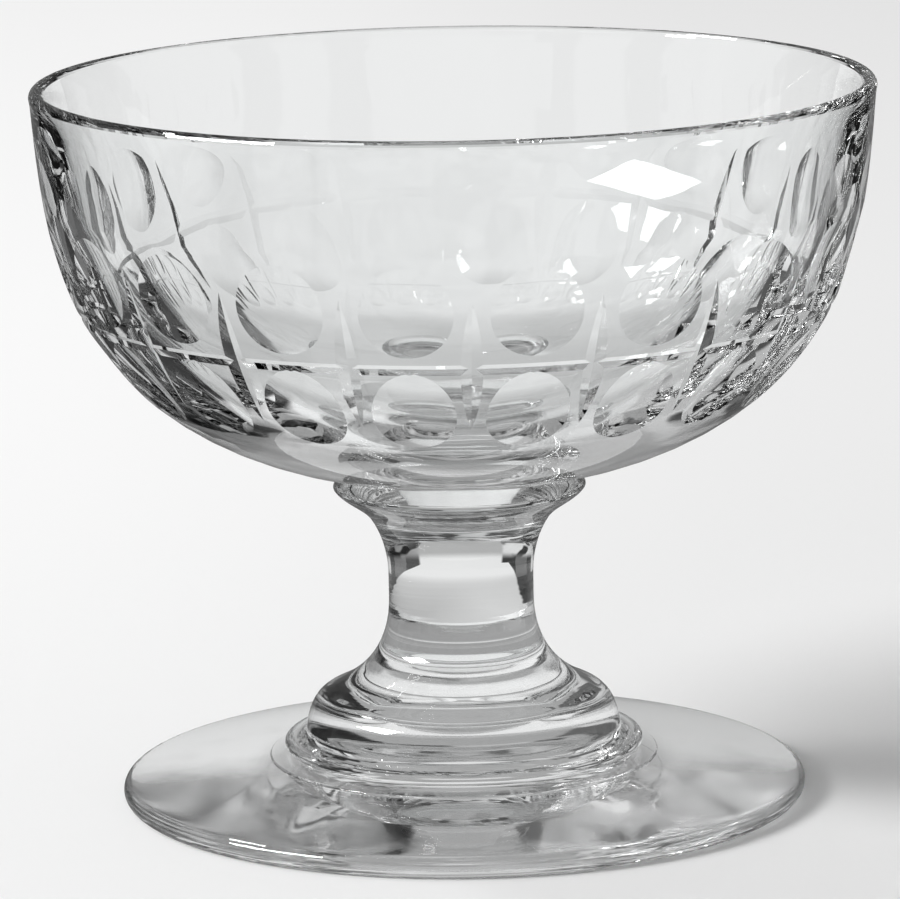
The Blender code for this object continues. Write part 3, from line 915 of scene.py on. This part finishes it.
def make_floor(stage):
    """A flat disc of paper just under the foot."""
    profile = np.array([(stage.floor_radius * part, FLOOR_LEVEL) for part in FLOOR_RINGS])
    rings = turned_from(profile, FLOOR_COLUMNS, 0.0)
    points = np.concatenate([rings.reshape(-1, 3), [(0.0, 0.0, FLOOR_LEVEL)]])
    columns = rings.shape[1]
    bands = grid_triangles(len(rings), columns).reshape(-1, 3)
    first = np.arange(columns)
    fan = np.stack([np.full(columns, len(points) - 1), first, np.roll(first, -1)], axis=1)
    mesh = bpy.data.meshes.new("stage_floor")
    mesh.from_pydata(points.tolist(), [], np.concatenate([bands, fan]).tolist())
    floor = bpy.data.objects.new("stage_floor", mesh)
    bpy.context.scene.collection.objects.link(floor)
    material, tree = new_material("pale_paper")
    place = add_node(tree, "ShaderNodeTexCoord").outputs["Object"]
    x, y, _ = add_node(tree, "ShaderNodeSeparateXYZ", {0: place}).outputs
    reach = add_node(tree, "ShaderNodeVectorMath", {0: place}, operation="LENGTH").outputs["Value"]
    off_strip = beside_strip(tree, stage, x, y)
    near = step(tree, reach, stage.sheet_start + STRIP_EDGE, stage.sheet_start - STRIP_EDGE)
    off_sheets = maths(tree, "MAXIMUM", between_sheets(tree, stage, x, y), near)
    card = between(tree, step(tree, x, -FLOOR_SIDE, FLOOR_SIDE), stage.card_left, stage.card_right)
    off_paper = maths(tree, "MULTIPLY", off_strip, off_sheets)
    look = between(tree, off_paper, lit_paper(tree, stage, x, y, reach), card)
    # Painted shade: the paper's colour turns darker to the right, where the softbox's light falls off, and to
    # the front
    shade = maths(tree, "MULTIPLY", step(tree, x, -SHADE_EDGE, SHADE_EDGE), SHADE_RIGHT)
    from_back = step(tree, y, SHADE_BACK_START, SHADE_FRONT_END)
    shade = maths(tree, "MULTIPLY_ADD", from_back, SHADE_FRONT, shade)
    painted_shade_tone = add_node(
        tree,
        "ShaderNodeMix",
        {
            "Factor": shade,
            "A": (*stage.floor_colour, 1.0),
            "B": (*stage.painted_floor_shade, 1.0),
        },
        data_type="RGBA",
    )
    paper = add_node(
        tree,
        "ShaderNodeBsdfPrincipled",
        {"Base Color": painted_shade_tone.outputs["Result"], "Roughness": PAPER_ROUGHNESS, "Specular IOR Level": 0.0},
    )
    through_glass = add_node(tree, "ShaderNodeEmission", {"Strength": filtered(tree, stage, look)})
    shader = add_node(
        tree,
        "ShaderNodeMixShader",
        {0: seen_by_glass(tree), 1: paper.outputs["BSDF"], 2: through_glass.outputs["Emission"]},
    )
    add_node(tree, "ShaderNodeOutputMaterial", {"Surface": shader.outputs["Shader"]})
    material.cycles.emission_sampling = "NONE"
    mesh.materials.append(material)


def make_world(stage):
    """Soft light from all round. The glass sees white sheets and black cards, and above them a room."""
    world = bpy.data.worlds.new("studio")
    bpy.context.scene.world = world
    world.use_nodes = True
    tree = world.node_tree
    tree.nodes.clear()
    direction = add_node(tree, "ShaderNodeTexCoord").outputs["Generated"]
    x, y, z = add_node(tree, "ShaderNodeSeparateXYZ", {0: direction}).outputs
    things = add_node(tree, "ShaderNodeTexNoise", {"Vector": direction, "Scale": ROOM_SCALE, "Detail": 1.0})
    patches = step(tree, things.outputs["Fac"], ROOM_DARK_TO, ROOM_LIGHT_FROM)
    room = between(tree, patches, stage.room_dark, stage.room_light)
    side = between(tree, step(tree, x, -ROOM_SIDE, ROOM_SIDE), ROOM_LEFT, ROOM_RIGHT)
    room = maths(tree, "MULTIPLY", room, side)
    card = between(tree, step(tree, x, -SKY_SIDE, SKY_SIDE), stage.card_left, stage.card_right)
    from_back = maths(tree, "ABSOLUTE", maths(tree, "ARCTAN2", x, y))
    half = stage.sheet_width / 2
    off_screen = step(tree, from_back, half - SCREEN_EDGE, half + SCREEN_EDGE)
    top_start, top_end = stage.screen_top - SCREEN_TOP_EDGE, stage.screen_top + SCREEN_TOP_EDGE
    over_screen = step(tree, z, sin(top_start), sin(top_end))
    room = between(tree, maths(tree, "MAXIMUM", off_screen, over_screen), stage.screen, room)
    outer = half + stage.flag_width
    off_flags = step(tree, from_back, outer - SCREEN_EDGE, outer + SCREEN_EDGE)
    off_flags = maths(tree, "MAXIMUM", off_flags, maths(tree, "SUBTRACT", 1.0, off_screen))
    for edge, way in ((stage.flag_low, -1), (stage.flag_high, 1)):
        beyond = step(tree, z, sin(edge - way * FLAG_EDGE), sin(edge + way * FLAG_EDGE))
        off_flags = maths(tree, "MAXIMUM", off_flags, beyond)
    flag = between(tree, step(tree, x, -FLAG_SIDE, FLAG_SIDE), stage.flag_left, stage.flag_right)
    room = between(tree, off_flags, flag, room)
    height = step(tree, z, sin(SHEET_FADE), sin(stage.sheet_top))
    low = between(tree, between_sheets(tree, stage, x, y), stage.paper, card)
    around = between(tree, height, low, room)
    light = between(tree, seen_by_glass(tree), stage.ambient, filtered(tree, stage, around))
    path = add_node(tree, "ShaderNodeLightPath")
    strength = between(tree, path.outputs["Is Camera Ray"], light, stage.backdrop)
    background = add_node(tree, "ShaderNodeBackground", {"Color": (1.0, 1.0, 1.0, 1.0), "Strength": strength})
    add_node(tree, "ShaderNodeOutputWorld", {"Surface": background.outputs["Background"]})


# Lamps: direction of the middle and the two edges, as azimuth and elevation in degrees, and brightness
LAMPS = {
    "softbox": ((195.5, 32.0), (31.0, 3.0), (12.0, 12.5), 36.0),
    "skylight": ((150.0, 50.0), (12.0, 2.0), (3.0, 9.0), 22.0),
}
LAMP_DISTANCE = 3.0

SENSOR_WIDTH = 36.0
GLASS_BOUNCES, GLOSSY_BOUNCES = 32, 16


def make_lamp(name, middle, first_edge, second_edge, brightness):
    """A flat glowing panel with four corners, far out in a direction from the glass."""
    signs = ((1, 1), (-1, 1), (-1, -1), (1, -1))
    corners = np.array(middle) + np.array(signs) @ np.array([first_edge, second_edge]) / 2
    azimuth, elevation = np.radians(corners).T
    flat = np.cos(elevation)
    directions = np.stack([flat * np.cos(azimuth), flat * np.sin(azimuth), np.sin(elevation)], axis=1)
    points = LAMP_DISTANCE * directions
    mesh = bpy.data.meshes.new(name)
    mesh.from_pydata((points + [0.0, 0.0, BOWL_LOW.z]).tolist(), [], [(0, 1, 2, 3)])
    panel = bpy.data.objects.new(name, mesh)
    bpy.context.scene.collection.objects.link(panel)
    material, tree = new_material(name + "_cloth")
    glow = add_node(tree, "ShaderNodeEmission", {"Strength": brightness})
    add_node(tree, "ShaderNodeOutputMaterial", {"Surface": glow.outputs["Emission"]})
    mesh.materials.append(material)
    panel.visible_camera = False


def make_camera(stage):
    camera = bpy.data.objects.new("camera", bpy.data.cameras.new("camera"))
    bpy.context.scene.collection.objects.link(camera)
    camera.data.sensor_width = SENSOR_WIDTH
    camera.data.lens = stage.focal_length
    camera.data.clip_start = 0.01
    camera.location = (stage.offset, -stage.distance, stage.height)
    camera.rotation_euler = (
        Euler((pi / 2 - stage.pitch, 0.0, 0.0)).to_matrix() @ Euler((0.0, 0.0, stage.roll)).to_matrix()
    ).to_euler()
    bpy.context.scene.camera = camera


class SHERBET_OT_bowl(Operator):
    """Build the cut bowl"""

    bl_idname = "sherbet.bowl"
    bl_label = "Cut Bowl"

    def execute(self, context):
        make_bowl(context)
        return {"FINISHED"}


class SHERBET_OT_collar(Operator):
    """Build the collar between bowl and stem"""

    bl_idname = "sherbet.collar"
    bl_label = "Collar"

    def execute(self, context):
        make_collar(context)
        return {"FINISHED"}


class SHERBET_OT_stem(Operator):
    """Build the stem"""

    bl_idname = "sherbet.stem"
    bl_label = "Stem"

    def execute(self, context):
        make_stem(context)
        return {"FINISHED"}


class SHERBET_OT_foot(Operator):
    """Build the foot"""

    bl_idname = "sherbet.foot"
    bl_label = "Foot"

    def execute(self, context):
        make_foot(context)
        return {"FINISHED"}


class SHERBET_OT_stage(Operator):
    """Build the floor, the light and the camera"""

    bl_idname = "sherbet.stage"
    bl_label = "Stage"

    def execute(self, context):
        stage = settings(context, "stage")
        make_floor(stage)
        make_world(stage)
        for name, lamp in LAMPS.items():
            make_lamp(name, *lamp)
        make_camera(stage)
        scene = context.scene
        scene.view_settings.view_transform = "Standard"
        scene.cycles.max_bounces = GLASS_BOUNCES
        scene.cycles.transmission_bounces = GLASS_BOUNCES
        scene.cycles.glossy_bounces = GLOSSY_BOUNCES
        scene.cycles.transparent_max_bounces = GLASS_BOUNCES
        return {"FINISHED"}


class SHERBET_PT_panel(Panel):
    """Lists the pieces of the glass and the stage"""

    bl_idname = "SHERBET_PT_panel"
    bl_label = "Sherbet Glass"
    bl_space_type = "VIEW_3D"
    bl_region_type = "UI"
    bl_category = "Sherbet Glass"

    def draw(self, context):
        for operator in OPERATORS:
            self.layout.operator(operator.bl_idname)


SETTINGS = {
    "bowl": BowlSettings,
    "cuts": CutSettings,
    "lower": LowerSettings,
    "glass": GlassSettings,
    "stage": StageSettings,
}
OPERATORS = (SHERBET_OT_bowl, SHERBET_OT_collar, SHERBET_OT_stem, SHERBET_OT_foot, SHERBET_OT_stage)


def register():
    for group in SETTINGS.values():
        bpy.utils.register_class(group)
    for name, group in SETTINGS.items():
        setattr(bpy.types.Scene, "sherbet_" + name, PointerProperty(type=group))
    for operator in OPERATORS:
        bpy.utils.register_class(operator)
    bpy.utils.register_class(SHERBET_PT_panel)


def unregister():
    bpy.utils.unregister_class(SHERBET_PT_panel)
    for operator in reversed(OPERATORS):
        bpy.utils.unregister_class(operator)
    for name, group in reversed(SETTINGS.items()):
        delattr(bpy.types.Scene, "sherbet_" + name)
        bpy.utils.unregister_class(group)


def main():
    register()
    bpy.ops.sherbet.bowl()
    bpy.ops.sherbet.collar()
    bpy.ops.sherbet.stem()
    bpy.ops.sherbet.foot()
    bpy.ops.sherbet.stage()


if __name__ == "__main__":
    main()
